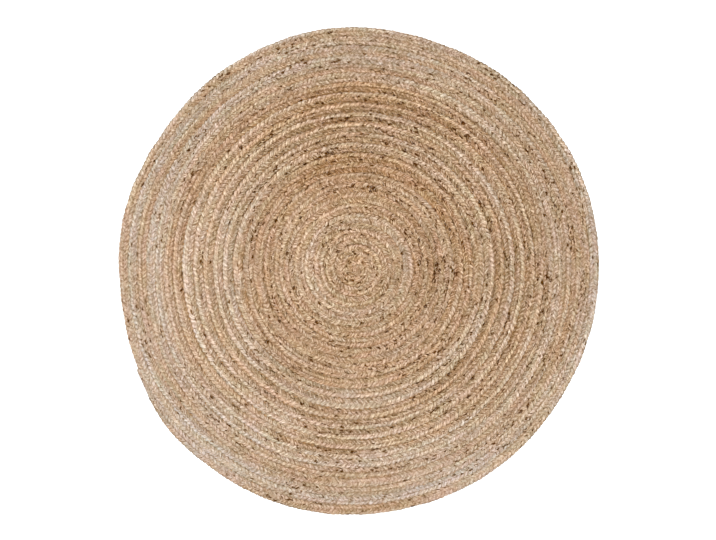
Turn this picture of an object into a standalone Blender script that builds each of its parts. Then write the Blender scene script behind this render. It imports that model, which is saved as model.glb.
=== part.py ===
"""A round rug of braided jute, lying flat.

One long flat braid is wound clockwise from the middle outwards and sewn turn to turn, so the rug is
one piece. Each row of braid is a rib on both faces, with a groove between it and the next row, and on
the upper face a shallow crease between the braid's two lobes. The outer end narrows to nothing against
the row before it.

Metres, +Z up. The rug lies on z = 0, and the middle of its outline's box is over the origin.
A place along the braid is given in turns from the middle, and a place across a row as a share of the
row's width, from its inner edge to its outer edge.
"""

import math
from collections import namedtuple

import bmesh
import bpy

# The coil
TURNS = 25.0
ROW_WIDTH = 0.0250
OUTER_ROW_WIDTH = 0.0228  # of the tighter rows towards the rim
TIGHTER_FROM = 17.9  # the turn at which they begin
END_ANGLE = 203.0  # degrees counter-clockwise from +X, where the braid ends
TAPER = 0.061  # turns over which the outer end narrows

# Heights above the floor
GROOVE_TOP = 0.0070  # bottom of the groove between two rows, on the upper face
GROOVE_UNDER = 0.0020  # roof of the groove between two rows, on the underside
MIDDLE_TOP = 0.0095
RIM_HEIGHT = 0.0045  # the level at which the outermost row bulges most
RIM_BULGE = 0.0012
CREASE_DEPTH = 0.0011  # of the crease between a row's two lobes, below the lower lobe

# Places across a row
INNER_LOBE, CREASE, OUTER_LOBE = 0.24, 0.50, 0.80
FLAT_FROM, FLAT_TO = 0.20, 0.80  # the part of the underside that touches the floor

# How high a row's two lobes stand. About half way out the rows tilt, and their outer lobes stand proud.
Lobes = namedtuple("Lobes", "turn inner outer")
LOBES = (
    Lobes(turn=0.0, inner=0.0105, outer=0.0105),
    Lobes(turn=5.0, inner=0.0102, outer=0.0108),
    Lobes(turn=8.0, inner=0.0095, outer=0.0114),
    Lobes(turn=12.5, inner=0.0090, outer=0.0120),
    Lobes(turn=18.0, inner=0.0090, outer=0.0120),
    Lobes(turn=20.0, inner=0.0100, outer=0.0110),
    Lobes(turn=25.5, inner=0.0105, outer=0.0102),
)

# How far the outline departs from a true coil: waves around it, each highest at its own angle
Wave = namedtuple("Wave", "cycles height peak")
WAVES = (
    Wave(cycles=1, height=0.0030, peak=288.7),
    Wave(cycles=2, height=0.0030, peak=54.0),
    Wave(cycles=3, height=0.0007, peak=2.3),
    Wave(cycles=4, height=0.0017, peak=18.9),
    Wave(cycles=5, height=0.0008, peak=28.7),
    Wave(cycles=6, height=0.0007, peak=36.7),
    Wave(cycles=7, height=0.0010, peak=2.6),
    Wave(cycles=8, height=0.0010, peak=30.1),
    Wave(cycles=9, height=0.0006, peak=9.4),
    Wave(cycles=10, height=0.0006, peak=22.6),
)

# Points along the coil, closer together in angle further out
UPPER_POINTS, UPPER_RIM_POINTS = 700, 48
LOWER_POINTS, LOWER_RIM_POINTS = 540, 38

JUTE_COLOUR = (0.52, 0.36, 0.23, 1.0)
JUTE_ROUGHNESS = 0.9


def clear_scene():
    """Removes the objects that the scene starts with."""
    for thing in list(bpy.data.objects):
        bpy.data.objects.remove(thing, do_unlink=True)


def narrowing(turn):
    """The braid's width at a turn, as a share of its full width."""
    left = max(0.0, min(1.0, (TURNS - turn) / TAPER))
    return left * left * (3.0 - 2.0 * left)


def edge_radius(turn):
    """The radius of the row's outer edge, before the outline's waves."""
    shown = max(0.0, min(turn, turn - 1.0 + narrowing(turn)))
    tighter = max(0.0, shown - TIGHTER_FROM)
    return ROW_WIDTH * (shown - tighter) + OUTER_ROW_WIDTH * tighter


def wave_height(angle):
    """How far the outline stands out at an angle in degrees."""
    return sum(w.height * math.cos(math.radians(w.cycles * (angle - w.peak))) for w in WAVES)


def place(turn, share, out=0.0):
    """The x and y of a point across the row at a turn, moved outwards by out."""
    angle = END_ANGLE + 360.0 * (TURNS - turn)
    radius = (1.0 - share) * edge_radius(turn - 1.0) + share * edge_radius(turn)
    radius += out + wave_height(angle) * (radius / edge_radius(TURNS - 0.5)) ** 2
    return radius * math.cos(math.radians(angle)), radius * math.sin(math.radians(angle))


def lobe_height(turn, lobe):
    """The height of the inner or outer lobe's crest, lower where the braid narrows."""
    before = [row for row in LOBES if row.turn <= turn][-1]
    after = [row for row in LOBES if row.turn > turn][0]
    part = (turn - before.turn) / (after.turn - before.turn)
    full = (1.0 - part) * getattr(before, lobe) + part * getattr(after, lobe)
    return GROOVE_TOP + (full - GROOVE_TOP) * math.sqrt(narrowing(turn))


def crease_height(turn):
    """The height of the crease between the two lobes."""
    lower = min(lobe_height(turn, "inner"), lobe_height(turn, "outer"))
    return max(GROOVE_TOP, lower - CREASE_DEPTH)


def underside_height(turn):
    """The height of a row's flat underside, which lifts off the floor only where the braid narrows."""
    return GROOVE_UNDER * (1.0 - math.sqrt(narrowing(turn)))


def stations(points, rim_points):
    """The turns at which a line along the braid has points. The last full turn has an even spacing."""
    start = TURNS - 1.0
    coil = [start * (i / points) ** (2.0 / 3.0) for i in range(points)]
    return coil + [start + i / rim_points for i in range(rim_points)] + [TURNS]


def groove_line(mesh, turns, height, middle):
    """The line of a groove, as (turn, vertex) pairs. The end meets the line one turn before it."""
    line = {0.0: middle}
    for turn in turns[1:-1]:
        line[turn] = mesh.verts.new((*place(turn, 1.0), height))
    line[TURNS] = line[TURNS - 1.0]
    return list(line.items())


def row_line(mesh, turns, share, height_at, middle, end):
    """A line along a row at one share of its width, as (turn, vertex) pairs."""
    inside = [(t, mesh.verts.new((*place(t, share), height_at(t)))) for t in turns[1:-1]]
    return [(0.0, middle), *inside, (TURNS, end)]


def one_turn_on(groove, middle):
    """A groove as the inner edge of the next row, so each point counts one turn more."""
    return [(0.0, middle)] + [(turn + 1.0, vertex) for turn, vertex in groove if turn + 1.0 <= TURNS]


def skin(mesh, first, second):
    """Joins two lines with triangles, always stepping along the line that is behind."""
    i = j = 0
    while i < len(first) - 1 or j < len(second) - 1:
        here, there = first[i][1], second[j][1]
        if j == len(second) - 1 or (i < len(first) - 1 and first[i + 1][0] <= second[j + 1][0]):
            i += 1
            ahead = first[i][1]
        else:
            j += 1
            ahead = second[j][1]
        if len({here, there, ahead}) == 3:
            mesh.faces.new((here, ahead, there))


def upper_face(mesh):
    """Builds the upper face and gives the line of its outer edge."""
    turns = stations(UPPER_POINTS, UPPER_RIM_POINTS)
    middle = mesh.verts.new((0.0, 0.0, MIDDLE_TOP))
    groove = groove_line(mesh, turns, GROOVE_TOP, middle)
    end = groove[-1][1]
    inner = row_line(mesh, turns, INNER_LOBE, lambda t: lobe_height(t, "inner"), middle, end)
    crease = row_line(mesh, turns, CREASE, crease_height, middle, end)
    outer = row_line(mesh, turns, OUTER_LOBE, lambda t: lobe_height(t, "outer"), middle, end)
    lines = (one_turn_on(groove, middle), inner, crease, outer, groove)
    for first, second in zip(lines, lines[1:]):
        skin(mesh, first, second)
    return [point for point in groove if point[0] >= TURNS - 1.0]


def underside(mesh):
    """Builds the underside, from its outer edge inwards, and gives the line of its outer edge."""
    turns = stations(LOWER_POINTS, LOWER_RIM_POINTS)
    middle = mesh.verts.new((0.0, 0.0, 0.0))
    groove = groove_line(mesh, turns, GROOVE_UNDER, middle)
    end = groove[-1][1]
    flat_to = row_line(mesh, turns, FLAT_TO, underside_height, middle, end)
    flat_from = row_line(mesh, turns, FLAT_FROM, underside_height, middle, end)
    lines = (groove, flat_to, flat_from, one_turn_on(groove, middle))
    for first, second in zip(lines, lines[1:]):
        skin(mesh, first, second)
    return [point for point in groove if point[0] >= TURNS - 1.0]


def rim(mesh, upper_edge, lower_edge):
    """Closes the rug's edge with a rounded side."""
    turns = [turn for turn, _ in upper_edge]
    side = [(t, mesh.verts.new((*place(t, 1.0, RIM_BULGE), RIM_HEIGHT))) for t in turns[:-1]]
    side.append((TURNS, side[0][1]))
    skin(mesh, upper_edge, side)
    skin(mesh, side, lower_edge)


def centre(mesh):
    """Moves the mesh so that the middle of its outline's box is over the origin."""
    for axis in (0, 1):
        along = [vertex.co[axis] for vertex in mesh.verts]
        shift = -0.5 * (min(along) + max(along))
        for vertex in mesh.verts:
            vertex.co[axis] += shift


def jute():
    """The material of dry, undyed jute."""
    material = bpy.data.materials.new("jute")
    material.use_nodes = True
    shader = material.node_tree.nodes["Principled BSDF"]
    shader.inputs["Base Color"].default_value = JUTE_COLOUR
    shader.inputs["Roughness"].default_value = JUTE_ROUGHNESS
    shader.inputs["Metallic"].default_value = 0.0
    return material


def build_rug():
    """Makes the rug, one closed solid."""
    mesh = bmesh.new()
    rim(mesh, upper_face(mesh), underside(mesh))
    centre(mesh)
    data = bpy.data.meshes.new("rug")
    mesh.to_mesh(data)
    mesh.free()
    data.shade_smooth()
    data.set_sharp_from_angle(angle=math.radians(60.0))
    data.materials.append(jute())
    rug = bpy.data.objects.new("rug", data)
    bpy.context.scene.collection.objects.link(rug)


clear_scene()
build_rug()
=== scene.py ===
"""The looks of a round rug of braided jute, seen from straight above.

The rug is one long flat braid of three strands, wound clockwise from the middle outwards and sewn row to
row. A strand is three jute yarns side by side. Every strand is modelled along its whole length, over and
under the other two, so the chevrons, the grooves between the rows and the raised outer lobes of the
middle rows are real shapes. Sewing twine lies in the grooves, and loose fibres lie on the braid.

Metres, +Z up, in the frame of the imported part. A place along the braid is given in turns from the
middle, and a place across a row as a share of its width, from its inner edge to its outer edge.
"""

from __future__ import annotations

import logging
import math
from dataclasses import dataclass, field
from enum import Enum
from functools import reduce
from operator import mul
from typing import Callable, NamedTuple, Optional, Sequence, Union

import bpy
import numpy as np
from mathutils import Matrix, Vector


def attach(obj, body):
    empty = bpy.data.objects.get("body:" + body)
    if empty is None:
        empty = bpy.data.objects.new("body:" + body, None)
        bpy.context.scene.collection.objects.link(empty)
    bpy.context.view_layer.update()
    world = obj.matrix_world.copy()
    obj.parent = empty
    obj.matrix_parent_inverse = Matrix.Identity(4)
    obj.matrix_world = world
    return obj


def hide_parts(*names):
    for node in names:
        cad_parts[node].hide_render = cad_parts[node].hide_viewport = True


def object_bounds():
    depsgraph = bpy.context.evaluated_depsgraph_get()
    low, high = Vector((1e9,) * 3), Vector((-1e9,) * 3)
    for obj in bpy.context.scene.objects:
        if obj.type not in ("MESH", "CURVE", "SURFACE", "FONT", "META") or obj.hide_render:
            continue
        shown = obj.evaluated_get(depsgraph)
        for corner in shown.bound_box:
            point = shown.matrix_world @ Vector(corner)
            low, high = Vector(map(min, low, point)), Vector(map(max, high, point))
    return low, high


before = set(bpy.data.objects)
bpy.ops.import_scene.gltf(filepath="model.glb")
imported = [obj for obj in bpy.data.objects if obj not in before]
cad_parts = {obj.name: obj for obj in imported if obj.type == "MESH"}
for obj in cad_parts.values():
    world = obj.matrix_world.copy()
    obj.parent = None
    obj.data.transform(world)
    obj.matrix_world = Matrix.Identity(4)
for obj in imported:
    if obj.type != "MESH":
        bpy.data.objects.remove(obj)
CAD_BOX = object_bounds()

LOG = logging.getLogger("jute_rug")
BODY = "root"
NODE = "rug"
FULL_TURN = 2.0 * math.pi
USUAL_NOISE = (0.36, 0.64)  # a noise, from 0 to 1, is nearly always between these

Feed = Union["Value", float, int, bool, str, Sequence[float], bpy.types.ID, None]


# -------- Node trees --------


def summed(operation: str, swapped: bool = False) -> Callable[..., Value]:
    """Makes an operator that adds a sum's node.

    Args:
        operation: The sum.
        swapped: Whether the value that has the operator comes last in it.

    Returns:
        The operator.
    """

    def run(value: Value, *others: Feed) -> Value:
        """Adds the node and gives its result."""
        return value.net.math(operation, *((*others, value) if swapped else (value, *others)))

    return run


class Value:
    """What a socket gives. A sum on a number is written as on a plain one, and adds a node."""

    def __init__(self, net: Net, socket: bpy.types.NodeSocket) -> None:
        """Keeps the tree and the socket."""
        self.net, self.socket = net, socket

    __add__, __sub__, __rsub__ = summed("ADD"), summed("SUBTRACT"), summed("SUBTRACT", swapped=True)
    __mul__, __truediv__, __pow__ = summed("MULTIPLY"), summed("DIVIDE"), summed("POWER")
    __abs__, __round__ = summed("ABSOLUTE"), summed("ROUND")


class Net:
    """Adds nodes to one tree and joins them."""

    def __init__(self, tree: bpy.types.NodeTree) -> None:
        """Keeps the tree that the nodes go into."""
        self.tree = tree

    def feed(self, socket: bpy.types.NodeSocket, value: Feed) -> None:
        """Joins a node's value to a socket, or sets a plain one on it.

        Args:
            socket: The input to feed.
            value: A node's value, a plain one, or None to leave the input as it is.
        """
        if isinstance(value, Value):
            self.tree.links.new(value.socket, socket)
        elif value is not None:
            socket.default_value = value

    def add(self, kind: str, inputs: Optional[dict] = None, **settings: object) -> bpy.types.Node:
        """Adds a node.

        Args:
            kind: The node's type.
            inputs: What feeds its inputs, by name or number.
            settings: Its properties.

        Returns:
            The node.
        """
        node = self.tree.nodes.new(kind)
        for name, value in settings.items():
            setattr(node, name, value)
        for key, value in (inputs or {}).items():
            self.feed(node.inputs[key], value)
        return node

    def made(
        self, kind: str, inputs: Optional[dict] = None, output: Union[int, str] = 0, **settings: object
    ) -> Value:
        """Adds a node and gives one of its outputs, picked by name or number."""
        return Value(self, self.add(kind, inputs, **settings).outputs[output])

    def math(self, operation: str, *values: Feed) -> Value:
        """Adds a sum on numbers and gives its result."""
        return self.made("ShaderNodeMath", dict(enumerate(values)), operation=operation)

    def vector(self, operation: str, *values: Feed) -> Value:
        """Adds a sum on vectors and gives its result, which is a number for a dot product."""
        output = "Value" if operation == "DOT_PRODUCT" else "Vector"
        return self.made("ShaderNodeVectorMath", dict(enumerate(values)), output, operation=operation)

    def scaled(self, vector: Feed, factor: Feed) -> Value:
        """Multiplies a vector by a number."""
        return self.made("ShaderNodeVectorMath", {0: vector, "Scale": factor}, operation="SCALE")

    def joined(self, x: Feed = 0.0, y: Feed = 0.0, z: Feed = 0.0) -> Value:
        """Makes a vector of three numbers."""
        return self.made("ShaderNodeCombineXYZ", {0: x, 1: y, 2: z})

    def parts(self, vector: Feed) -> list[Value]:
        """Gives a vector's three numbers."""
        return [Value(self, part) for part in self.add("ShaderNodeSeparateXYZ", {0: vector}).outputs]

    def ranged(self, value: Feed, low: Feed, high: Feed, to_low: Feed, to_high: Feed) -> Value:
        """Carries a number from one range into another, held at both ends."""
        inputs = {"Value": value, 1: low, 2: high, 3: to_low, 4: to_high}
        return self.made("ShaderNodeMapRange", inputs, clamp=True)

    def noise(self, at: Feed, scale: Feed, detail: float, rough: float = 0.5) -> Value:
        """Adds a noise and gives it as a number from 0 to 1, mostly near a half."""
        inputs = {"Vector": at, "Scale": scale, "Detail": detail, "Roughness": rough}
        return self.made("ShaderNodeTexNoise", inputs)

    def mixed(self, factor: Feed, first: Feed, second: Feed) -> Value:
        """Mixes two colours. The node's inputs for them go by number, as all kinds share their names.

        Args:
            factor: The second colour's share, from 0 to 1.
            first: One colour.
            second: The other colour.

        Returns:
            The mixed colour.
        """
        node = self.add("ShaderNodeMix", data_type="RGBA")
        for place, value in ((0, factor), (6, first), (7, second)):
            self.feed(node.inputs[place], value)
        return Value(self, node.outputs[2])


class Growth(Net):
    """A Geometry Nodes tree with named inputs, which turns a guide into a piece."""

    KINDS = {
        "number": "NodeSocketFloat",
        "whole": "NodeSocketInt",
        "object": "NodeSocketObject",
        "material": "NodeSocketMaterial",
    }

    def __init__(self, name: str, sizes: Sequence[str], **others: str) -> None:
        """Starts the tree.

        Args:
            name: The tree's name.
            sizes: The names of the inputs that are plain numbers.
            others: The kind of each other input, by its name.
        """
        super().__init__(bpy.data.node_groups.new(name, "GeometryNodeTree"))
        face = self.tree.interface
        face.new_socket("Guide", in_out="INPUT", socket_type="NodeSocketGeometry")
        self.names = {}
        for key, kind in (dict.fromkeys(sizes, "number") | others).items():
            socket = face.new_socket(key, in_out="INPUT", socket_type=self.KINDS[kind])
            self.names[key] = socket.identifier
        face.new_socket("Piece", in_out="OUTPUT", socket_type="NodeSocketGeometry")
        outputs = self.tree.nodes.new("NodeGroupInput").outputs
        self.given = {socket.name: Value(self, socket) for socket in outputs}
        self.guide = self.given["Guide"]

    def held(self, name: str, kind: str = "FLOAT") -> Value:
        """Reads an attribute that the geometry holds."""
        return self.made("GeometryNodeInputNamedAttribute", {"Name": name}, data_type=kind)

    def hold(self, shape: Value, name: str, value: Feed, kind: str = "FLOAT_VECTOR") -> Value:
        """Stores an attribute on the points of a shape."""
        inputs = {"Geometry": shape, "Name": name, "Value": value}
        return self.made("GeometryNodeStoreNamedAttribute", inputs, data_type=kind, domain="POINT")

    def moved(self, shape: Value, offset: Feed) -> Value:
        """Moves the points of a shape."""
        return self.made("GeometryNodeSetPosition", {"Geometry": shape, "Offset": offset})

    def put(self, shape: Value, place: Feed) -> Value:
        """Puts the points of a shape at new places."""
        return self.made("GeometryNodeSetPosition", {"Geometry": shape, "Position": place})

    def position(self) -> Value:
        """Gives each point's place."""
        return self.made("GeometryNodeInputPosition")

    def drawn(self, seed: Feed, low: Feed, high: Feed) -> Value:
        """Draws a number for each point.

        Args:
            seed: The seed.
            low: The least that the number can be.
            high: The most.

        Returns:
            The number.
        """
        node = self.add("FunctionNodeRandomValue", {"Seed": seed}, data_type="FLOAT")
        for place, value in (("Min", low), ("Max", high)):
            self.feed([s for s in node.inputs if s.name == place and s.type == "VALUE"][0], value)
        return Value(self, [s for s in node.outputs if s.type == "VALUE"][0])

    def curve(self, line: Value) -> Value:
        """Makes a line of edges a curve."""
        return self.made("GeometryNodeMeshToCurve", {0: line})

    def swept(self, curve: Value, ring: Value) -> Value:
        """Sweeps a ring along a curve, with both ends closed."""
        return self.made("GeometryNodeCurveToMesh", {0: curve, 1: ring, "Fill Caps": True})

    def together(self, *shapes: Value) -> Value:
        """Joins shapes into one.

        Args:
            shapes: The shapes.

        Returns:
            The joined shape.
        """
        node = self.add("GeometryNodeJoinGeometry")
        for shape in shapes:
            self.feed(node.inputs[0], shape)
        return Value(self, node.outputs[0])

    def tube(self, curve: Value, sides: Feed, radius: Feed) -> Value:
        """Makes a closed round tube along a curve."""
        ring = self.made("GeometryNodeCurvePrimitiveCircle", {"Resolution": sides, "Radius": radius})
        return self.swept(curve, ring)

    def close(self, shape: Value, finish: Feed) -> None:
        """Ends the tree: smooth faces, plain geometry and the finish.

        Args:
            shape: The geometry.
            finish: The material.
        """
        smooth = self.made("GeometryNodeSetShadeSmooth", {0: shape})
        plain = self.made("GeometryNodeRealizeInstances", {0: smooth})
        dressed = self.made("GeometryNodeSetMaterial", {"Geometry": plain, "Material": finish})
        self.feed(self.tree.nodes.new("NodeGroupOutput").inputs[0], dressed)

    def grow(self, name: str, guide: bpy.types.Mesh, **values: object) -> bpy.types.Object:
        """Runs the tree on a guide and keeps the result as a plain mesh.

        Args:
            name: The piece's name.
            guide: The mesh that the tree starts from.
            values: The value of each named input.

        Returns:
            The piece, at the origin, with no modifier left.
        """
        piece = bpy.data.objects.new(name, guide)
        bpy.context.scene.collection.objects.link(piece)
        modifier = piece.modifiers.new(self.tree.name, "NODES")
        modifier.node_group = self.tree
        for key, value in values.items():
            modifier[self.names[key]] = value
        graph = bpy.context.evaluated_depsgraph_get()
        made = bpy.data.meshes.new_from_object(
            piece.evaluated_get(graph), preserve_all_data_layers=True, depsgraph=graph
        )
        piece.modifiers.clear()
        piece.data = made
        made.name = name
        bpy.data.meshes.remove(guide)
        return piece


# -------- Meshes --------


def on_floor(line: np.ndarray) -> np.ndarray:
    """Gives a line in x and y as points at floor level."""
    return np.column_stack([line, np.zeros(len(line))])


def sideways(line: np.ndarray) -> np.ndarray:
    """Gives the level direction to the left of a line in x and y, which is outwards on the coil.

    Args:
        line: The line's points, in order.

    Returns:
        A unit vector of x, y and z for each point.
    """
    ahead = np.gradient(line, axis=0)
    outward = on_floor(np.column_stack([-ahead[:, 1], ahead[:, 0]]))
    return outward / np.linalg.norm(outward, axis=1)[:, None]


def edged_mesh(name: str, points: np.ndarray, closed: bool = False, **held: np.ndarray) -> bpy.types.Mesh:
    """Makes a mesh of one line of edges.

    Args:
        name: The mesh's name.
        points: Its points, in order.
        closed: Whether the last point is joined to the first.
        held: Attributes, each with a number or a vector for each point.

    Returns:
        The mesh.
    """
    mesh = bpy.data.meshes.new(name)
    start = np.arange(len(points) if closed else len(points) - 1)
    edges = np.column_stack([start, (start + 1) % len(points)])
    mesh.from_pydata(points.tolist(), edges.tolist(), [])
    for key, values in held.items():
        vector = values.ndim == 2
        layer = mesh.attributes.new(key, "FLOAT_VECTOR" if vector else "FLOAT", "POINT")
        layer.data.foreach_set("vector" if vector else "value", values.astype(np.float32).ravel())
    return mesh


def read_all(items: bpy.types.bpy_prop_collection, value: str, kind: type, width: int = 1) -> np.ndarray:
    """Reads one value of every point, corner or face of a mesh.

    Args:
        items: The points, corners or faces.
        value: The value's name.
        kind: The type of its numbers.
        width: How many numbers it has.

    Returns:
        All the numbers, in one row.
    """
    numbers = np.empty(len(items) * width, kind)
    items.foreach_get(value, numbers)
    return numbers


def enclosed_volume(mesh: bpy.types.Mesh) -> float:
    """Gives the volume inside a closed mesh.

    Args:
        mesh: The mesh.

    Returns:
        The volume, below zero where the faces point inwards.
    """
    mesh.calc_loop_triangles()
    corners = read_all(mesh.loop_triangles, "vertices", np.int32, 3)
    points = read_all(mesh.vertices, "co", float, 3).reshape(-1, 3)
    a, b, c = points[corners].reshape(-1, 3, 3).transpose(1, 0, 2)
    return float(np.einsum("ij,ij->i", a, np.cross(b, c)).sum() / 6.0)


def finish_piece(piece: bpy.types.Object) -> bpy.types.Object:
    """Turns a closed piece's faces outwards, and puts it on the part in the solid's place.

    Args:
        piece: The piece.

    Returns:
        The piece.
    """
    mesh = piece.data
    if enclosed_volume(mesh) < 0.0:
        mesh.flip_normals()
    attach(piece, BODY)
    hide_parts(NODE)
    count = sum(len(face.vertices) - 2 for face in mesh.polygons)
    LOG.info("%s: %d triangles", piece.name, count)
    return piece


@dataclass(frozen=True)
class FoldedMap:
    """A UV map that lays a long tube out flat, folded into lines one above another."""

    name: str = "OFBake"
    margin: float = 0.05  # left free along both sides of a line, as a share of its height
    cap_radius: float = 0.4  # of a closed end on the map, in lengths of a face
    cap_places: tuple[float, float] = (0.5, 2.5)  # of the two closed ends, before and after a line's end

    def lay(self, mesh: bpy.types.Mesh, sides: int) -> None:
        """Lays the map on a tube with closed ends.

        Args:
            mesh: The tube. Its points go round one section after another.
            sides: How many faces it has around.
        """
        corners = read_all(mesh.loops, "vertex_index", np.int32)
        starts = read_all(mesh.polygons, "loop_start", np.int32)
        sizes = np.diff(starts, append=len(corners))
        section, side = np.divmod(corners, sides)
        first, last, lowest, highest = (
            np.repeat(pick.reduceat(value, starts), sizes)
            for value in (section, side)
            for pick in (np.minimum, np.maximum)
        )
        lines, columns = self.folds(mesh, sides)
        line, column = np.divmod(first, columns)
        cell = 1.0 / (columns + 2)
        x = (column + section - first + 1) * cell
        seam = (highest - lowest > 1) & (side == 0)
        share = np.where(seam, sides, side) / sides
        y = (line + self.margin + (1.0 - 2.0 * self.margin) * share) / lines
        cap = first == last
        line, column = np.divmod(np.maximum(first - 1, 0), columns)
        middle = (column + np.where(first == 0, *self.cap_places)) * cell
        turned, radius = FULL_TURN * side / sides, self.cap_radius * cell
        x = np.where(cap, middle + radius * np.cos(turned), x)
        y = np.where(cap, (line + 0.5) / lines + radius * np.sin(turned), y)
        spots = np.column_stack([x, y]).astype(np.float32)
        mesh.uv_layers.new(name=self.name).data.foreach_set("uv", spots.ravel())

    def folds(self, mesh: bpy.types.Mesh, sides: int) -> tuple[int, int]:
        """Finds how to fold the tube so that the map is as long as it is high.

        Args:
            mesh: The tube.
            sides: How many faces it has around.

        Returns:
            How many lines there are, and how many faces long each is.
        """
        rings = read_all(mesh.vertices, "co", float, 3).reshape(-1, sides, 3)
        length = np.linalg.norm(np.diff(rings.mean(axis=1), axis=0), axis=1).sum()
        girth = np.linalg.norm(np.roll(rings, 1, axis=1) - rings, axis=2).sum(axis=1).mean()
        lines = max(1, round(math.sqrt(length / girth)))
        return lines, math.ceil((len(rings) - 1) / lines)


# -------- The braid's path --------


class Wave(NamedTuple):
    """One wave of the outline, round the rug. The peak is in degrees."""

    cycles: int
    height: float
    peak: float


class Lobes(NamedTuple):
    """How high a row's inner and outer lobes stand at a turn."""

    turn: float
    inner: float
    outer: float


class Batch(NamedTuple):
    """How the braid is made at a turn: its plait's length, and the tone and greyness of its jute.

    The inner and outer tones are those of the row's two lobes. Proud lobes are worn paler, and the
    difference is partly painted light on the raised outer lobe and painted shade on the lower inner lobe
    next to it.
    """

    turn: float
    plait: float
    inner: float
    outer: float
    grey: float


def by_turn(rows: Sequence[Union[Lobes, Batch]], turn: np.ndarray, value: str) -> np.ndarray:
    """Reads one value of a table at some turns, in between its rows too."""
    return np.interp(turn, [row.turn for row in rows], [getattr(row, value) for row in rows])


class Patch(NamedTuple):
    """A broad soft patch where the braid is paler or darker. Grey above zero is greyer, and below it
    browner.
    """

    x: float
    y: float
    wide: float
    tall: float
    tone: float
    grey: float

    def weight(self, spots: np.ndarray) -> np.ndarray:
        """How strongly the patch shows at some places, from 1 in its middle to 0 far off."""
        across, along = (spots[:, 0] - self.x) / self.wide, (spots[:, 1] - self.y) / self.tall
        return np.exp(-across * across - along * along)


@dataclass(frozen=True)
class Wander:
    """A slow, uneven drift along the braid, as hand work has: a few sines of drawn lengths."""

    seed: int
    size: float
    shortest: float
    longest: float
    count: int = 9

    def __call__(self, along: np.ndarray) -> np.ndarray:
        """Gives the drift, mostly within the size.

        Args:
            along: Lengths along the braid.

        Returns:
            The drift at each.
        """
        rng = np.random.default_rng(self.seed)
        lengths = np.exp(rng.uniform(math.log(self.shortest), math.log(self.longest), self.count))
        starts = rng.uniform(0.0, FULL_TURN, self.count)
        waves = [np.sin(FULL_TURN * along / long + start) for long, start in zip(lengths, starts)]
        return self.size * np.sum(waves, axis=0) / math.sqrt(self.count)


@dataclass
class Coil:
    """The flat coil that the braid is wound into, in the part's own sizes."""

    turns: float = 25.0
    row_width: float = 0.0250
    tighter_width: float = 0.0228
    tighter_from: float = 17.9
    end_angle: float = 203.0
    taper: float = 0.061
    rim_bulge: float = 0.0012
    rim_samples: int = 4000
    waves: tuple[Wave, ...] = (  # cycles, height, peak
        Wave(1, 0.0030, 288.7),
        Wave(2, 0.0030, 54.0),
        Wave(3, 0.0007, 2.3),
        Wave(4, 0.0017, 18.9),
        Wave(5, 0.0008, 28.7),
        Wave(6, 0.0007, 36.7),
        Wave(7, 0.0010, 2.6),
        Wave(8, 0.0010, 30.1),
        Wave(9, 0.0006, 9.4),
        Wave(10, 0.0006, 22.6),
    )
    lobes: tuple[Lobes, ...] = (  # turn, inner, outer
        Lobes(0.0, 0.0105, 0.0105),
        Lobes(5.0, 0.0102, 0.0108),
        Lobes(8.0, 0.0095, 0.0114),
        Lobes(12.5, 0.0090, 0.0120),
        Lobes(18.0, 0.0090, 0.0120),
        Lobes(20.0, 0.0100, 0.0110),
        Lobes(25.5, 0.0105, 0.0102),
    )
    shift: np.ndarray = field(default_factory=lambda: np.zeros(2))

    def __post_init__(self) -> None:
        """Finds the shift that puts the middle of the outline's box over the origin."""
        rim = self.place(np.linspace(self.turns - 1.0, self.turns, self.rim_samples), 1.0, self.rim_bulge)
        self.shift = -0.5 * (rim.min(axis=0) + rim.max(axis=0))

    def narrowing(self, turn: np.ndarray) -> np.ndarray:
        """The braid's width at a turn, as a share of its full width."""
        left = np.clip((self.turns - turn) / self.taper, 0.0, 1.0)
        return left * left * (3.0 - 2.0 * left)

    def edge_radius(self, turn: np.ndarray) -> np.ndarray:
        """Gives the radius of the row's outer edge, before the outline's waves.

        Args:
            turn: The turns.

        Returns:
            The radius at each.
        """
        shown = np.maximum(0.0, np.minimum(turn, turn - 1.0 + self.narrowing(turn)))
        tighter = np.maximum(0.0, shown - self.tighter_from)
        return self.row_width * (shown - tighter) + self.tighter_width * tighter

    def width(self, turn: np.ndarray) -> np.ndarray:
        """The row's width at a turn."""
        return self.edge_radius(turn) - self.edge_radius(turn - 1.0)

    def wave_height(self, angle: np.ndarray) -> np.ndarray:
        """How far the outline stands out at an angle in degrees."""
        return sum(w.height * np.cos(np.radians(w.cycles * (angle - w.peak))) for w in self.waves)

    def place(self, turn: np.ndarray, share: float, out: Union[float, np.ndarray] = 0.0) -> np.ndarray:
        """Gives places across the row at some turns.

        Args:
            turn: The turns.
            share: The place across the row.
            out: How far to move outwards from there.

        Returns:
            A row of x and y for each turn.
        """
        angle = self.end_angle + 360.0 * (self.turns - turn)
        radius = (1.0 - share) * self.edge_radius(turn - 1.0) + share * self.edge_radius(turn)
        rim = float(self.edge_radius(np.array(self.turns - 0.5)))
        radius = radius + out + self.wave_height(angle) * (radius / rim) ** 2
        along = np.radians(angle)
        return np.stack([radius * np.cos(along), radius * np.sin(along)], axis=-1) + self.shift


class Stretch(Enum):
    """The two stretches that the braid is modelled in, by the turns where they begin and end."""

    MIDDLE = (0.10, 17.9)
    OUTER = (17.9, 24.995)

    @property
    def start(self) -> float:
        """The turn where the stretch begins."""
        return self.value[0]

    @property
    def end(self) -> float:
        """The turn where the stretch ends."""
        return self.value[1]


class Strand(Enum):
    """The three strands of the braid, each a third of a plait ahead of the one before."""

    FIRST = 0
    SECOND = 1
    THIRD = 2

    @property
    def lead(self) -> float:
        """How far ahead in the plait the strand is, as an angle."""
        return FULL_TURN * self.value / len(Strand)


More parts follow.
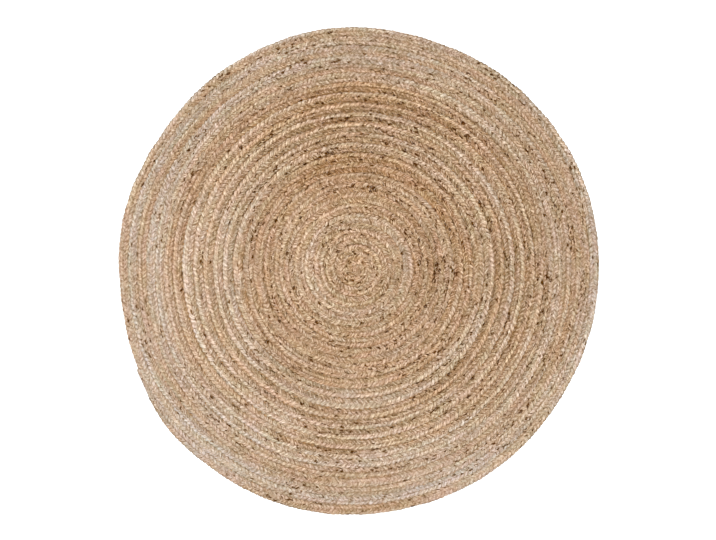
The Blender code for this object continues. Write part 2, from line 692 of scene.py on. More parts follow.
@dataclass
class BraidPath:
    """Where each plait of the braid lies along the coil."""

    coil: Coil
    plait_drift: Wander = Wander(seed=11, size=0.060, shortest=0.06, longest=1.0)
    side_drift: Wander = Wander(seed=12, size=0.00060, shortest=0.06, longest=0.5)
    lift_drift: Wander = Wander(seed=13, size=0.030, shortest=0.05, longest=0.4)
    groove_drift: Wander = Wander(seed=14, size=0.00120, shortest=0.15, longest=2.0)
    groove_lean: float = 0.0026  # how far outside the true coil the grooves lie on average
    drifting: tuple[float, float] = (0.6, 24.0)  # turns between which the grooves drift
    fading: float = 2.0  # turns over which the drift begins and ends
    batches: tuple[Batch, ...] = (  # turn, plait, inner, outer, grey
        Batch(0.0, 0.0288, 0.93, 0.93, -0.10),
        Batch(3.0, 0.0288, 0.98, 1.00, 0.00),
        Batch(5.5, 0.0288, 0.98, 1.01, 0.50),
        Batch(7.2, 0.0288, 0.83, 0.84, 0.30),
        Batch(9.5, 0.0289, 0.94, 0.97, 0.70),
        Batch(11.5, 0.0300, 0.89, 0.97, 0.35),
        Batch(14.0, 0.0362, 0.84, 1.31, 0.50),
        Batch(17.5, 0.0362, 0.84, 1.24, 0.30),
        Batch(19.7, 0.0358, 0.88, 1.04, 0.70),
        Batch(22.0, 0.0353, 1.02, 1.18, 0.95),
        Batch(25.0, 0.0346, 0.98, 1.12, 1.00),
    )
    patches: tuple[Patch, ...] = (  # x, y, wide, tall, tone, grey
        Patch(-0.24, -0.24, 0.38, 0.30, 1.02, 0.2),
        Patch(0.08, 0.34, 0.34, 0.16, 1.00, -0.2),
        Patch(-0.42, -0.02, 0.17, 0.32, 1.23, 0.4),
        Patch(0.28, -0.50, 0.22, 0.10, 1.22, 0.5),
        Patch(-0.34, -0.40, 0.22, 0.14, 1.09, 0.4),
        Patch(-0.04, 0.44, 0.14, 0.08, 0.88, -0.1),
        Patch(-0.06, 0.29, 0.14, 0.07, 0.84, -0.5),
        Patch(0.18, -0.03, 0.07, 0.11, 0.88, 0.0),
        Patch(0.40, 0.06, 0.15, 0.26, 0.87, 0.0),
        Patch(-0.13, 0.05, 0.06, 0.12, 1.16, 0.1),
        Patch(-0.14, -0.25, 0.12, 0.05, 0.88, 0.0),
        Patch(0.00, -0.34, 0.16, 0.04, 1.12, 0.2),
        Patch(-0.09, -0.42, 0.07, 0.05, 0.88, -0.5),
    )
    snug: tuple[float, float] = (9.0, 13.0)  # turns between which the strands draw in to their own width
    snug_reach: float = 1.07  # how much further they reach before them
    sewn: tuple[float, float] = (0.6, 23.98)  # turns between which a row is sewn to the next
    steps: int = 12  # sections in a plait
    lowest: float = 0.75 * math.pi  # where in each half plait, as an angle, a strand is lowest
    least_width: float = 0.45  # of the braid's own width, at its tucked ends
    cut_girth: float = 0.9  # of the outer stretch's first section, which sits inside the other's last
    samples: int = 60000
    turn: np.ndarray = field(init=False, repr=False)
    along: np.ndarray = field(init=False, repr=False)
    angle: np.ndarray = field(init=False, repr=False)

    def __post_init__(self) -> None:
        """Measures the row's length and the plait's angle along the coil."""
        self.turn = np.linspace(Stretch.MIDDLE.start**0.5, Stretch.OUTER.end**0.5, self.samples) ** 2
        line = self.coil.place(self.turn, 0.5)
        pace = np.linalg.norm(np.diff(line, axis=0), axis=1)
        self.along = np.concatenate([[0.0], np.cumsum(pace)])
        share = np.clip(self.coil.width(self.turn) / self.coil.row_width, self.least_width, 1.0)
        at_end = self.turn > self.coil.turns - 0.5  # there the plait gets shorter as the braid narrows
        plait = by_turn(self.batches, self.turn, "plait") * np.where(at_end, np.sqrt(share), 1.0)
        rate = FULL_TURN / (plait * (1.0 + self.plait_drift(self.along)))
        turned = 0.5 * (rate[1:] + rate[:-1]) * pace
        self.angle = np.concatenate([[0.0], np.cumsum(turned)])

    def patched(self, spots: np.ndarray) -> tuple[np.ndarray, np.ndarray]:
        """Gives what the patches do at some places: a factor for the tone, and added greyness."""
        tone = np.prod([1.0 + (p.tone - 1.0) * p.weight(spots) for p in self.patches], axis=0)
        return tone, np.sum([p.grey * p.weight(spots) for p in self.patches], axis=0)

    def reached(self, turn: np.ndarray) -> np.ndarray:
        """The length of braid wound up to some turns."""
        return np.interp(turn, self.turn, self.along)

    def drift(self, turn: np.ndarray) -> np.ndarray:
        """Gives how far the groove outside a row strays from the true coil.

        Args:
            turn: The turns.

        Returns:
            The drift at each, outwards.
        """
        start, end = self.drifting
        held = np.clip(np.minimum(turn - start, end - turn) / self.fading, 0.0, 1.0)
        return held * (self.groove_lean + self.groove_drift(self.reached(turn)))

    def stations(self, strand: Strand, stretch: Stretch) -> np.ndarray:
        """Gives the plait angles at which a strand has sections in a stretch.

        The angles fall on the strand's highest and lowest places, and a stretch is cut where the strand
        is lowest, out of sight under the other two.

        Args:
            strand: The strand.
            stretch: The stretch.

        Returns:
            The angles, in radians.
        """
        step = FULL_TURN / self.steps
        grid = (np.arange(int(self.angle[-1] / step) - 1) + 0.5) * step
        low = np.isclose(np.mod(grid + strand.lead, math.pi), self.lowest, atol=0.01)
        turn = np.interp(grid, self.angle, self.turn)
        cut = np.flatnonzero(low & (turn > Stretch.OUTER.start))[0]
        return grid[: cut + 1] if stretch is Stretch.MIDDLE else grid[cut:]

    def guide(self, strand: Strand, stretch: Stretch) -> bpy.types.Mesh:
        """Makes the row's middle line for a strand, with what the strand needs to know at each point.

        Args:
            strand: The strand.
            stretch: The stretch.

        Returns:
            A mesh of edges with attributes.
        """
        angle = self.stations(strand, stretch)
        turn = np.interp(angle, self.angle, self.turn)
        along = np.interp(angle, self.angle, self.along)
        inside, outside = self.drift(turn - 1.0), self.drift(turn)
        line = self.coil.place(turn, 0.5, 0.5 * (inside + outside) + self.side_drift(along))
        share = (self.coil.width(turn) + outside - inside) / self.coil.row_width
        girth = np.clip(share, self.least_width, 1.0)
        if stretch is Stretch.OUTER:
            girth[0] *= self.cut_girth
        lift = 1.0 + self.lift_drift(along)
        tone, grey = self.patched(line)
        inner, outer, made = (by_turn(self.batches, turn, name) for name in ("inner", "outer", "grey"))
        return edged_mesh(
            "guide",
            on_floor(line),
            plait=angle + strand.lead,
            along=along,
            outward=sideways(line),
            reach=share * np.interp(turn, self.snug, (self.snug_reach, 1.0)),
            girth=girth,
            # the lobes' tones: wear, with painted light on the outer lobe and painted shade on the inner
            # one
            inner_tone=inner * tone,
            outer_tone=outer * tone,
            broad=0.5 * (inner + outer),
            grey=made + grey,
            inner_height=by_turn(self.coil.lobes, turn, "inner") * lift,
            outer_height=by_turn(self.coil.lobes, turn, "outer") * lift,
        )

    def groove(self, step: float) -> bpy.types.Mesh:
        """Makes the line of the groove between the rows, where they are sewn together.

        Args:
            step: How far apart its points are.

        Returns:
            A mesh of edges with attributes.
        """
        start, end = self.reached(np.array(self.sewn))
        turn = np.interp(np.arange(start, end, step), self.along, self.turn)
        line = self.coil.place(turn, 1.0, self.drift(turn))
        return edged_mesh("groove", on_floor(line), outward=sideways(line))


# -------- Finishes --------


class Lay(Enum):
    """What a pattern follows, by the attribute that holds the place on it."""

    YARN = "yarn"  # along the yarn, across it with the strand's own number added, and through it
    ROW = "row"  # along the row that the yarns are plaited into, and across it from its middle


@dataclass(frozen=True)
class Grain:
    """A noise drawn out along a yarn or a row: the length and the width of its spots, in metres."""

    length: float
    width: float
    seed: float
    lay: Lay = Lay.YARN
    detail: float = 1.0
    rough: float = 0.6  # how much its finer spots count

    @property
    def scale(self) -> tuple[float, float, float]:
        """How many spots there are to the metre, along and across."""
        return 1.0 / self.length, 1.0 / self.width, 1.0 / self.width

    @property
    def start(self) -> tuple[float, float, float]:
        """Where in the noise the grain begins, so that no two are alike."""
        return self.seed, 7.0 * self.seed, self.seed


class Ramp(NamedTuple):
    """A range of a number, and what the number becomes at its two ends and beyond them."""

    low: float
    high: float
    to_low: float
    to_high: float


@dataclass(frozen=True)
class Shade:
    """A grain's effect on the tone, in its dark and in its pale spots."""

    grain: Grain
    dark: float
    pale: float

    @property
    def ramp(self) -> Ramp:
        """What the grain's noise multiplies the tone by."""
        return Ramp(*USUAL_NOISE, self.dark, self.pale)


@dataclass(frozen=True)
class Dye:
    """How much red, green or blue the jute has, and how that follows its tone.

    A power above 1 makes the colour fade faster than the others as the tone falls, and a tint is what is
    added to a factor of 1.
    """

    level: float  # at a tone of 1
    dark_power: float  # of a tone below 1
    pale_power: float  # of a tone above 1
    broad_power: float = 0.0  # of the tone of the stretch of braid
    end_power: float = 0.0  # of the tone of a dark root end
    grey_tint: float = 0.0  # of a grey batch
    hollow_shade_tint: float = 0.0  # of a hollow: a warm tint painted into the shade there
    patches: Optional[Shade] = None


@dataclass(frozen=True)
class Finish:
    """A material. Its roughness and gloss are the same all over."""

    name: str
    roughness: float = 0.8
    gloss: float = 0.5

    def make(self) -> bpy.types.Material:
        """Makes the material.

        Returns:
            The material.
        """
        material = bpy.data.materials.new(self.name)
        material.use_nodes = True
        shader = material.node_tree.nodes["Principled BSDF"]
        shader.inputs["Roughness"].default_value = self.roughness
        shader.inputs["Specular IOR Level"].default_value = self.gloss
        self.dress(Net(material.node_tree), shader.inputs)
        return material

    def dress(self, net: Net, shader: bpy.types.NodeInputs) -> None:
        """Gives the shader its colour and relief."""
        raise NotImplementedError


@dataclass(frozen=True)
class PlainFinish(Finish):
    """One even colour, for the floor and for threads too thin to show a pattern."""

    colour: tuple[float, float, float, float] = (1.0, 1.0, 1.0, 1.0)

    def dress(self, net: Net, shader: bpy.types.NodeInputs) -> None:
        """Gives the shader its colour."""
        net.feed(shader["Base Color"], self.colour)


@dataclass(frozen=True)
class JuteFinish(Finish):
    """Dry, undyed jute yarn: streaked along its fibres, patchy in tone, with dark root ends, and with
    shade painted into its plies, strand edges, creases and hollows.
    """

    name: str = "jute_yarn"
    roughness: float = 0.82
    gloss: float = 0.02

    # The colour: dark jute is browner and pale jute greyer, its dark stretches are golden, and the shade
    # in its hollows is painted warmer
    red: Dye = Dye(
        level=0.515,
        dark_power=0.85,
        pale_power=0.90,
        broad_power=-0.30,
        end_power=-0.08,
        grey_tint=-0.06,
        hollow_shade_tint=0.04,
        patches=Shade(Grain(length=0.055, width=0.0200, seed=0.0, lay=Lay.ROW), dark=0.955, pale=1.045),
    )
    green: Dye = Dye(level=0.376, dark_power=1.07, pale_power=1.00)
    blue: Dye = Dye(
        level=0.261,
        dark_power=1.39,
        pale_power=1.05,
        broad_power=0.35,
        end_power=0.28,
        grey_tint=0.11,
        hollow_shade_tint=-0.13,
        patches=Shade(Grain(length=0.070, width=0.0200, seed=1.2, lay=Lay.ROW), dark=0.94, pale=1.06),
    )
    cream: tuple[float, float, float, float] = (0.68, 0.500, 0.365, 1.0)
    cream_fibres: Grain = Grain(length=0.0060, width=0.0022, seed=8.9)
    cream_cover: Ramp = Ramp(0.60, 0.72, 0.0, 0.60)

    # The tone: what it is multiplied by, painted shade and highlight among it, and how calm it is
    broad_shades: tuple[Shade, ...] = (  # length, width, seed and lay, dark, pale
        Shade(Grain(1.60, 0.050, 2.3, Lay.ROW), 0.82, 1.15),
        Shade(Grain(0.50, 0.200, 4.5), 0.94, 1.06),
    )
    shades: tuple[Shade, ...] = (  # length, width, seed and lay, dark, pale
        Shade(Grain(0.300, 0.0036, 3.4, Lay.ROW), 0.68, 1.19),
        Shade(Grain(0.0100, 0.0090, 4.1), 0.90, 1.06),
        Shade(Grain(0.0085, 0.0027, 5.5), 0.49, 1.19),
        Shade(Grain(0.0034, 0.0024, 7.7), 0.52, 1.19),
    )
    streaks: Grain = Grain(length=0.0140, width=0.0011, seed=6.7, detail=3.0)
    streak_tone: Ramp = Ramp(0.30, 0.70, 0.78, 1.18)  # by the streaks' noise
    painted_ply_shade: Ramp = Ramp(0.0, 0.70, 0.57, 1.12)  # painted shade and highlight: darker in the grooves between plies, paler on them, by the plies' height
    painted_edge_shade: Ramp = Ramp(0.0032, 0.0054, 1.0, 0.70)  # painted shade: darker towards the strand's edges, where it meets and dives under the others, by the distance from the strand's middle
    painted_crease_shade: Ramp = Ramp(0.0004, 0.0028, 0.72, 1.0)  # painted shade in the crease between the lobes, by the distance from the row's middle
    wear_and_painted_shade: Ramp = Ramp(0.0036, 0.0068, 0.96, 1.10)  # wear, and painted shade and highlight: darker near the middle level, paler on the crests, by the distance from the middle level
    worn_calm: Ramp = Ramp(0.0095, 0.0120, 0.0, 0.20)  # by the lobe's height
    grey_calm: float = 0.23  # how much calmer the tone is where the batch is grey
    hollow_shade: Ramp = Ramp(0.0005, 0.0042, 1.0, 0.0)  # painted shade, by the distance from the middle level: 1 deep in a shaded hollow, 0 out of it
    middle_level: float = 0.0053  # half the braid's thickness

    # The dark root ends, where their grain is above a bar: lower in a cluster, higher on pale jute
    ends: Grain = Grain(length=0.0080, width=0.0068, seed=11.3, lay=Lay.ROW)
    clusters: Grain = Grain(length=0.200, width=0.030, seed=12.1, lay=Lay.ROW)
    bar: Ramp = Ramp(*USUAL_NOISE, 0.705, 0.60)
    pale_bar: float = 0.10
    fray: float = 0.30  # how far their outline follows the streaks
    mean_streak: float = 0.53
    end_tone: Ramp = Ramp(0.0, 0.05, 1.0, 0.12)  # by how far the grain is above the bar

    # The yarns
    yarn_width: float = 0.0031
    yarn_edge: Ramp = Ramp(0.000775, 0.00155, 1.0, 0.2)  # by the distance from the yarn's middle
    ply_length: float = 0.0075  # along the yarn, from one ply to the next
    slack: Grain = Grain(length=0.030, width=0.0040, seed=9.6)  # of the plies, looser and tighter
    ply_relief: tuple[float, float] = (0.0007, 0.9)  # its height and strength
    fibre_relief: tuple[float, float] = (0.0005, 0.8)

    def dress(self, net: Net, shader: bpy.types.NodeInputs) -> None:
        """Gives the shader the jute's colour and relief.

        Args:
            net: The material's nodes.
            shader: The shader's inputs.
        """
        jute = JuteNet(net.tree, self)
        jute.feed(shader["Base Color"], jute.colour())
        jute.feed(shader["Normal"], jute.relief())


class JuteNet(Net):
    """The nodes of the jute's finish."""

    def __init__(self, tree: bpy.types.NodeTree, look: JuteFinish) -> None:
        """Adds the nodes that several parts of the finish need.

        Args:
            tree: The material's tree.
            look: The finish.
        """
        super().__init__(tree)
        self.look = look
        height = self.parts(self.made("ShaderNodeTexCoord", output="Object"))[2]
        self.level = abs(height - look.middle_level)  # the distance from the braid's middle level
        self.along, across, self.through = self.parts(self.held(Lay.YARN.value, "Vector"))
        self.aside = across - round(across)  # to one side of the strand's middle
        self.tone, self.grey = self.held("tone"), self.held("grey")
        self.streaks, self.plies = self.spots(look.streaks), self.plied()
        self.stretches, self.ends = self.shaded(look.broad_shades), self.root_ends()

    def held(self, name: str, output: str = "Fac") -> Value:
        """Reads an attribute of the mesh."""
        return self.made("ShaderNodeAttribute", output=output, attribute_name=name)

    def spots(self, grain: Grain) -> Value:
        """Gives a grain's noise, a number from 0 to 1, mostly near a half."""
        at = self.vector("MULTIPLY", self.held(grain.lay.value, "Vector"), grain.scale)
        return self.noise(self.vector("ADD", at, grain.start), 1.0, grain.detail, grain.rough)

    def shaded(self, shades: Sequence[Shade]) -> Value:
        """Gives what some shades together multiply the tone by."""
        return reduce(mul, [self.ranged(self.spots(shade.grain), *shade.ramp) for shade in shades])

    def plied(self) -> Value:
        """Gives the twisted plies of each yarn.

        Returns:
            Their height: 1 on a ply, 0 in the groove between two.
        """
        look, yarns = self.look, self.aside / self.look.yarn_width
        off = (yarns - round(yarns)) * look.yarn_width
        twist = self.along * (math.pi / look.ply_length) + self.spots(look.slack) * FULL_TURN
        ply = abs(self.math("SINE", self.math("ARCTAN2", self.through, off) + twist))
        return ply * self.ranged(abs(off), *look.yarn_edge)

    def root_ends(self) -> Value:
        """Gives the dark root ends' tone, in loose clusters.

        Returns:
            A number to multiply the tone by, 1 between the root ends.
        """
        look = self.look
        bar = self.ranged(self.spots(look.clusters), *look.bar)
        bar = (self.tone - 1.0) * look.pale_bar + bar
        frayed = self.spots(look.ends) + (look.mean_streak - self.streaks) * look.fray
        return self.ranged(frayed - bar, *look.end_tone)

    def toned(self) -> Value:
        """Gives how pale the jute is: its batch, its shades and its streaks, painted shade in the grooves
        between plies, at the strand edges and in the row's middle crease, and its wear together with
        painted shade and highlight by height.

        Returns:
            The tone, about 1.
        """
        look, out = self.look, self.parts(self.held(Lay.ROW.value, "Vector"))[1]
        factors = (
            self.tone,
            self.stretches,
            # wear, with painted shade low down and painted highlight on the crests
            self.ranged(self.level, *look.wear_and_painted_shade),
            self.ranged(self.streaks, *look.streak_tone),
            # painted shade in the grooves between the plies
            self.ranged(self.plies, *look.painted_ply_shade),
            # painted shade along the strands' edges
            self.ranged(abs(self.aside), *look.painted_edge_shade),
            # painted shade in the row's middle crease
            self.ranged(abs(out), *look.painted_crease_shade),
            self.shaded(look.shades),
        )
        calm = self.grey * look.grey_calm + self.ranged(self.held("height"), *look.worn_calm)
        return reduce(mul, factors) ** (1.0 - calm) * self.ends

    def colour(self) -> Value:
        """Gives the colour, with redder, yellower and greyer patches, a warm tint painted into the shaded
        hollows, and cream fibres over it.

        Returns:
            The colour.
        """
        look, tone = self.look, self.toned()
        dark, pale = self.math("MINIMUM", tone, 1.0), self.math("MAXIMUM", tone, 1.0)
        broad, hollow_shade = self.held("broad") * self.stretches, self.ranged(self.level, *look.hollow_shade)
        mixed = []
        for dye in (look.red, look.green, look.blue):
            amount = dark**dye.dark_power * pale**dye.pale_power * dye.level
            if dye.patches:
                # a warm tint painted into the shade of the hollows
                tint = (self.grey * dye.grey_tint + 1.0) * (hollow_shade * dye.hollow_shade_tint + 1.0)
                tint = tint * broad**dye.broad_power * self.ends**dye.end_power
                amount = amount * tint * self.shaded([dye.patches])
            mixed.append(amount)
        cover = self.ranged(self.spots(look.cream_fibres), *look.cream_cover)
        return self.mixed(cover, self.joined(*mixed), look.cream)

    def relief(self) -> Value:
        """Gives the surface's direction, with the plies and the fibres as bump.

        Returns:
            The direction.
        """
        direction: Feed = None
        for height, (distance, strength) in (
            (self.plies, self.look.ply_relief),
            (self.streaks, self.look.fibre_relief),
        ):
            bump = {"Height": height, "Distance": distance, "Strength": strength, "Normal": direction}
            direction = self.made("ShaderNodeBump", bump)
        return direction


# -------- The rug --------


class Grown:
    """A sub-assembly that a tree grows, with some of its sizes as the tree's inputs."""

    SIZES: tuple[str, ...] = ()

    def sizes(self) -> dict[str, float]:
        """Gives the sizes that the tree has as inputs, by name."""
        return {name: getattr(self, name) for name in self.SIZES}


@dataclass
class BraidedCloth(Grown):
    """The braid's three strands, all the way along the coil."""

    SIZES = (
        *("reach", "sharpness", "lift", "strand_width", "strand_thickness"),
        *("lumps", "lump_size", "girth_drift", "stray", "hand"),
    )

    path: BraidPath
    reach: float = 0.0090  # from the row's middle to a strand's middle at its furthest
    sharpness: float = 0.07  # how far the strand's path is from a plain wave to a zigzag
    lift: float = 0.0022  # how far a strand rises and falls from the braid's middle level
    strand_width: float = 0.0110
    strand_thickness: float = 0.0079
    flatness: float = 0.30  # how far the strand's section is from an ellipse to a box
    lumps: float = 0.0010
    lump_size: float = 0.006
    girth_drift: float = 0.18
    stray: float = 0.0022  # how far a strand strays sideways from its even path
    rise_share: float = 0.5  # how much of that it strays up and down
    hand: float = 0.0150  # the length of braid over which it strays
    blend: float = 0.7  # of the reach: beyond it a place has one lobe's height and tone alone
    sides: int = 8

    def section(self) -> bpy.types.Object:
        """Makes the section's closed outline, which only the tree reads.

        Returns:
            The outline, in no collection.
        """
        turned = np.arange(self.sides) * FULL_TURN / self.sides
        x, y = (np.sign(w) * np.abs(w) ** (1.0 - self.flatness) for w in (np.cos(turned), np.sin(turned)))
        ring = on_floor(np.column_stack([x, y]))
        return bpy.data.objects.new("section", edged_mesh("section", ring, closed=True, ring=ring))

    def tree(self) -> Growth:
        """Builds the tree that plaits one strand along a guide.

        Returns:
            The tree.
        """
        net = Growth("plaited_strand", (*self.SIZES, "strand"), section="object", finish="material")
        given = net.given
        half = given["strand_thickness"] * 0.5
        middle, reach = given["lift"] + half, given["reach"] * net.held("reach")
        size = net.joined(given["strand_width"] * 0.5, half, 1.0)
        tube = self.wrapped(net, self.plaited(net, reach, middle), size)
        tube = self.lumpy(net, self.squeezed(net, self.laid(net, tube, reach), middle))
        across, through, _ = net.parts(net.vector("MULTIPLY", net.held("ring", "FLOAT_VECTOR"), size))
        yarn = net.joined(net.held("along"), across + given["strand"], through)
        net.close(net.hold(tube, Lay.YARN.value, yarn), given["finish"])
        return net

    def plaited(self, net: Growth, reach: Value, middle: Value) -> Value:
        """Swings the guide from side to side, over and under, to a strand's middle line.

        Args:
            net: The tree.
            reach: How far out the strand swings.
            middle: The braid's middle level.

        Returns:
            The middle line, a curve.
        """
        plait, sharpness = net.held("plait"), net.given["sharpness"]
        swing = net.math("SINE", plait) - net.math("SINE", plait * 3.0) * sharpness
        out = swing / (sharpness + 1.0) * reach + self.uneven(net, "stray", place=0.0)
        rise = net.math("SINE", plait * 2.0) * net.given["lift"]
        rise = rise + self.uneven(net, "stray", place=5.0) * self.rise_share + middle
        out = net.scaled(net.held("outward", "FLOAT_VECTOR"), out)
        offset = net.vector("ADD", out, net.joined(z=rise))
        return net.curve(net.moved(net.hold(net.guide, "foot", net.position()), offset))

    def wrapped(self, net: Growth, curve: Value, size: Value) -> Value:
        """Sweeps the section along the strand's middle line.

        Args:
            net: The tree.
            curve: The middle line.
            size: Half the strand's width and half its thickness.

        Returns:
            The strand, closed at both ends.
        """
        curve = net.made("GeometryNodeSetCurveNormal", {0: curve}, mode="Z_UP")
        girth = net.held("girth") * (self.uneven(net, "girth_drift", place=9.0) + 1.0)
        curve = net.made("GeometryNodeSetCurveRadius", {0: curve, "Radius": girth})
        ring = net.made("GeometryNodeObjectInfo", {0: net.given["section"]}, "Geometry")
        ring = net.made("GeometryNodeTransform", {"Geometry": net.curve(ring), "Scale": size})
        return net.swept(curve, ring)

    def uneven(self, net: Growth, size: str, place: float) -> Value:
        """Gives an unevenness along the strand, above and below zero.

        Args:
            net: The tree.
            size: The input that holds its size.
            place: A place in the noise, so that no two are the same.

        Returns:
            The unevenness.
        """
        at = net.joined(net.held("along") / net.given["hand"], net.given["strand"], place)
        return (net.noise(at, 1.0, detail=1.0) - 0.5) * (net.given[size] * 2.0)

    def laid(self, net: Growth, tube: Value, reach: Value) -> Value:
        """Stores each point's place on its row, and the height and tone that the row has there.

        Args:
            net: The tree.
            tube: The strand.
            reach: How far out the strand swings.

        Returns:
            The strand with its attributes.
        """
        step = net.vector("SUBTRACT", net.position(), net.held("foot", "FLOAT_VECTOR"))
        out = net.vector("DOT_PRODUCT", step, net.held("outward", "FLOAT_VECTOR"))
        tube = net.hold(tube, Lay.ROW.value, net.joined(net.held("along"), out))
        outer, inner = reach * self.blend, reach * -self.blend
        for name in ("height", "tone"):
            value = net.ranged(out, inner, outer, net.held(f"inner_{name}"), net.held(f"outer_{name}"))
            tube = net.hold(tube, name, value, "FLOAT")
        return tube

    def squeezed(self, net: Growth, tube: Value, middle: Value) -> Value:
        """Presses each lobe of the braid to its own height.

        Args:
            net: The tree.
            tube: The strand.
            middle: The braid's middle level.

        Returns:
            The strand, pressed.
        """
        x, y, z = net.parts(net.position())
        return net.put(tube, net.joined(x, y, z * (net.held("height") / (middle * 2.0))))

    def lumpy(self, net: Growth, tube: Value) -> Value:
        """Makes the yarn uneven in thickness, but never below the floor.

        Args:
            net: The tree.
            tube: The strand.

        Returns:
            The strand with lumps.
        """
        scale = net.math("DIVIDE", 1.0, net.given["lump_size"])
        push = (net.noise(net.position(), scale, detail=1.0) - 0.5) * (net.given["lumps"] * 2.0)
        tube = net.moved(tube, net.scaled(net.made("GeometryNodeInputNormal"), push))
        x, y, z = net.parts(net.position())
        return net.put(tube, net.joined(x, y, net.math("MAXIMUM", z, 0.0)))

    def build(self, finish: Finish) -> list[bpy.types.Object]:
        """Makes every strand of both stretches.

        Args:
            finish: The jute's finish.

        Returns:
            The pieces.
        """
        net, section, material = self.tree(), self.section(), finish.make()
        made = []
        for stretch in Stretch:
            for strand in Strand:
                piece = net.grow(
                    f"braid_{stretch.name.lower()}_strand_{strand.value + 1}",
                    self.path.guide(strand, stretch),
                    **self.sizes(),
                    strand=float(strand.value),
                    section=section,
                    finish=material,
                )
                FoldedMap().lay(piece.data, self.sides)
                made.append(finish_piece(piece))
        bpy.data.objects.remove(section, do_unlink=True)
        return made


@dataclass
class Sewing(Grown):
    """The twine between the rows: a lacing to and fro across the groove, and a core that fills it below.

    The lacing's points are out, down, in and up in turn, so four of them make one stitch. The twine is a
    darker brown than the braid, partly its own colour and partly painted shade for the bottom of the
    groove, where the core lies.
    """

    SIZES = ("reach", "level", "rise", "radius", "core_step", "core_level", "core_radius")

    path: BraidPath
    step: float = 0.0050  # from one point of the lacing to the next
    reach: float = 0.0030  # to each side of the groove
    level: float = 0.0054
    rise: float = 0.0012
    radius: float = 0.0011
    core_step: float = 0.0100
    core_level: float = 0.0034
    core_radius: float = 0.0021
    sides: int = 4

    def tree(self) -> Growth:
        """Builds the tree that lays twine along a groove.

        Returns:
            The tree.
        """
        net = Growth("laced_twine", self.SIZES, sides="whole", finish="material")
        given = net.given
        turned = net.made("GeometryNodeInputIndex") * (0.5 * math.pi)
        aside = net.math("SINE", turned) * given["reach"]
        rise = net.math("COSINE", turned) * given["rise"] + given["level"]
        aside = net.scaled(net.held("outward", "FLOAT_VECTOR"), aside)
        lacing = net.curve(net.moved(net.guide, net.vector("ADD", aside, net.joined(z=rise))))
        core = net.curve(net.moved(net.guide, net.joined(z=given["core_level"])))
        even = {"Curve": core, "Length": given["core_step"]}
        core = net.made("GeometryNodeResampleCurve", even, mode="LENGTH")
        lacing = net.tube(lacing, given["sides"], given["radius"])
        core = net.tube(core, given["sides"], given["core_radius"])
        net.close(net.together(lacing, core), given["finish"])
        return net

    def build(self, finish: Finish) -> bpy.types.Object:
        """Makes the twine.

        Args:
            finish: Its finish.

        Returns:
            The piece.
        """
        guide, inputs = self.path.groove(self.step), {"sides": self.sides, "finish": finish.make()}
        return finish_piece(self.tree().grow("sewing_twine", guide, **self.sizes(), **inputs))


@dataclass
class LooseFibres(Grown):
    """Short fibres that stand off the yarn and lie over the braid."""

    SIZES = ("length", "radius", "bow")

    path: BraidPath
    name: str
    seed: int
    count: int = 1500
    length: float = 0.016
    spread: tuple[float, float] = (0.5, 1.3)  # the shortest and the longest, as a share of the length
    radius: float = 0.00016
    bow: float = 0.0030
    steps: int = 4
    sides: int = 3
    edge: float = 0.10  # how near a row's edge they may lie, as a share of its width
    crest: float = 0.80  # the outer lobe's place across the row

    def feet(self) -> bpy.types.Mesh:
        """Draws the places of the fibres, evenly over the upper face.

        Returns:
            A mesh of points.
        """
        rng = np.random.default_rng(self.seed)
        first, last = Stretch.MIDDLE.start, Stretch.OUTER.end - 1.0
        turn = np.sqrt(rng.uniform(first**2, last**2, self.count))
        share = rng.uniform(self.edge, 1.0 - self.edge, self.count)
        inner, outer = (by_turn(self.path.coil.lobes, turn, lobe) for lobe in ("inner", "outer"))
        height = inner + (outer - inner) * np.clip(share / self.crest, 0.0, 1.0)
        spot = self.path.coil.place(turn, share)
        mesh = bpy.data.meshes.new("feet")
        mesh.from_pydata(np.column_stack([spot, height]).tolist(), [], [])
        return mesh

    def tree(self) -> Growth:
        """Builds the tree that lays a bent fibre on each foot.

        Returns:
            The tree.
        """
        wholes = dict.fromkeys(("steps", "sides", "seed"), "whole")
        net = Growth("loose_fibres", self.SIZES, **wholes, finish="material")
        given = net.given
        half = given["length"] * 0.5
        bow = {
            "Resolution": given["steps"],
            "Start": net.joined(half * -1.0),
            "Middle": net.joined(0.0, given["bow"], given["radius"]),
            "End": net.joined(half),
        }
        fibre = net.made("GeometryNodeCurveQuadraticBezier", bow)
        fibre = net.tube(fibre, given["sides"], given["radius"])
        turned = net.joined(z=net.drawn(given["seed"], 0.0, FULL_TURN))
        size = net.drawn(given["seed"] + 1.0, *self.spread)
        size = net.joined(size, size, 1.0)
        laid = {"Points": net.guide, "Instance": fibre, "Rotation": turned, "Scale": size}
        net.close(net.made("GeometryNodeInstanceOnPoints", laid), given["finish"])
        return net

    def build(self, finish: Finish) -> bpy.types.Object:
        """Makes the fibres.

        Args:
            finish: Their finish.

        Returns:
            The piece.
        """
        wholes = {"steps": self.steps, "sides": self.sides, "seed": self.seed}
        piece = self.tree().grow(self.name, self.feet(), **self.sizes(), **wholes, finish=finish.make())
        return finish_piece(piece)


# -------- The studio --------


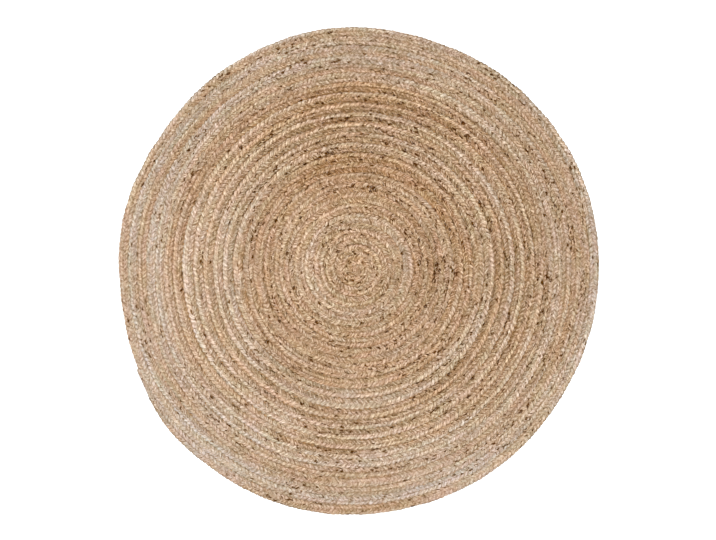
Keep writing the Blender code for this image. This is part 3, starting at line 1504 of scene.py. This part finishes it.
@dataclass
class Studio:
    """A white floor, soft light from above, and a camera that looks straight down."""

    picture_width: int = 716
    metres_per_pixel: float = 0.002468
    middle: tuple[float, float] = (-0.0025, 0.0025)
    lens: float = 85.0
    sensor: float = 36.0
    floor_size: float = 40.0
    floor_gap: float = 0.0005
    paint: PlainFinish = PlainFinish("studio_white", 0.9, gloss=0.1, colour=(0.92, 0.92, 0.92, 1.0))
    lamp_height: float = 5.5
    lamp_size: float = 3.0
    lamp_power: float = 420.0
    sky: float = 0.55

    def floor(self) -> None:
        """Makes the floor."""
        bpy.ops.mesh.primitive_plane_add(size=self.floor_size, location=(0.0, 0.0, -self.floor_gap))
        floor = bpy.context.object
        floor.name = "studio_floor"
        floor.data.materials.append(self.paint.make())

    def light(self) -> None:
        """Hangs the lamp over the rug and lights the room evenly."""
        lamp = bpy.data.lights.new("overhead_lamp", "AREA")
        lamp.shape = "DISK"
        lamp.size = self.lamp_size
        lamp.energy = self.lamp_power
        holder = bpy.data.objects.new("overhead_lamp", lamp)
        holder.location = (0.0, 0.0, self.lamp_height)
        holder.visible_camera = False
        bpy.context.scene.collection.objects.link(holder)
        world = bpy.data.worlds.new("studio_room")
        world.use_nodes = True
        background = world.node_tree.nodes["Background"]
        background.inputs["Color"].default_value = (1.0, 1.0, 1.0, 1.0)
        background.inputs["Strength"].default_value = self.sky
        bpy.context.scene.world = world

    def camera(self, top: float) -> None:
        """Hangs the camera so that the rug's upper face fills the frame as in the photograph.

        Args:
            top: The level of the rug's upper face.
        """
        width = self.picture_width * self.metres_per_pixel
        data = bpy.data.cameras.new("camera")
        data.lens = self.lens
        data.sensor_width = self.sensor
        camera = bpy.data.objects.new("camera", data)
        camera.location = (*self.middle, top + width * self.lens / self.sensor)
        bpy.context.scene.collection.objects.link(camera)
        bpy.context.scene.camera = camera

    def build(self, top: float) -> None:
        """Sets up the floor, the light and the camera.

        Args:
            top: The level of the rug's upper face.
        """
        self.floor()
        self.light()
        self.camera(top)
        bpy.context.scene.view_settings.view_transform = "Standard"


def main() -> None:
    """Builds the rug and the studio."""
    logging.basicConfig(level=logging.INFO, format="%(name)s: %(message)s")
    path = BraidPath(Coil())
    strands = BraidedCloth(path).build(JuteFinish())
    # the twine's dark brown is partly painted shade deep in the grooves
    Sewing(path).build(PlainFinish("jute_twine", colour=(0.34, 0.18, 0.065, 1.0)))
    for name, seed, finish, colour in (
        ("pale_fibres", 21, "pale_jute", (0.62, 0.50, 0.36, 1.0)),
        ("brown_fibres", 22, "brown_jute", (0.24, 0.14, 0.07, 1.0)),
    ):
        LooseFibres(path, name, seed).build(PlainFinish(finish, colour=colour))
    low, high = CAD_BOX
    Studio().build(high.z)


if __name__ == "__main__":
    main()
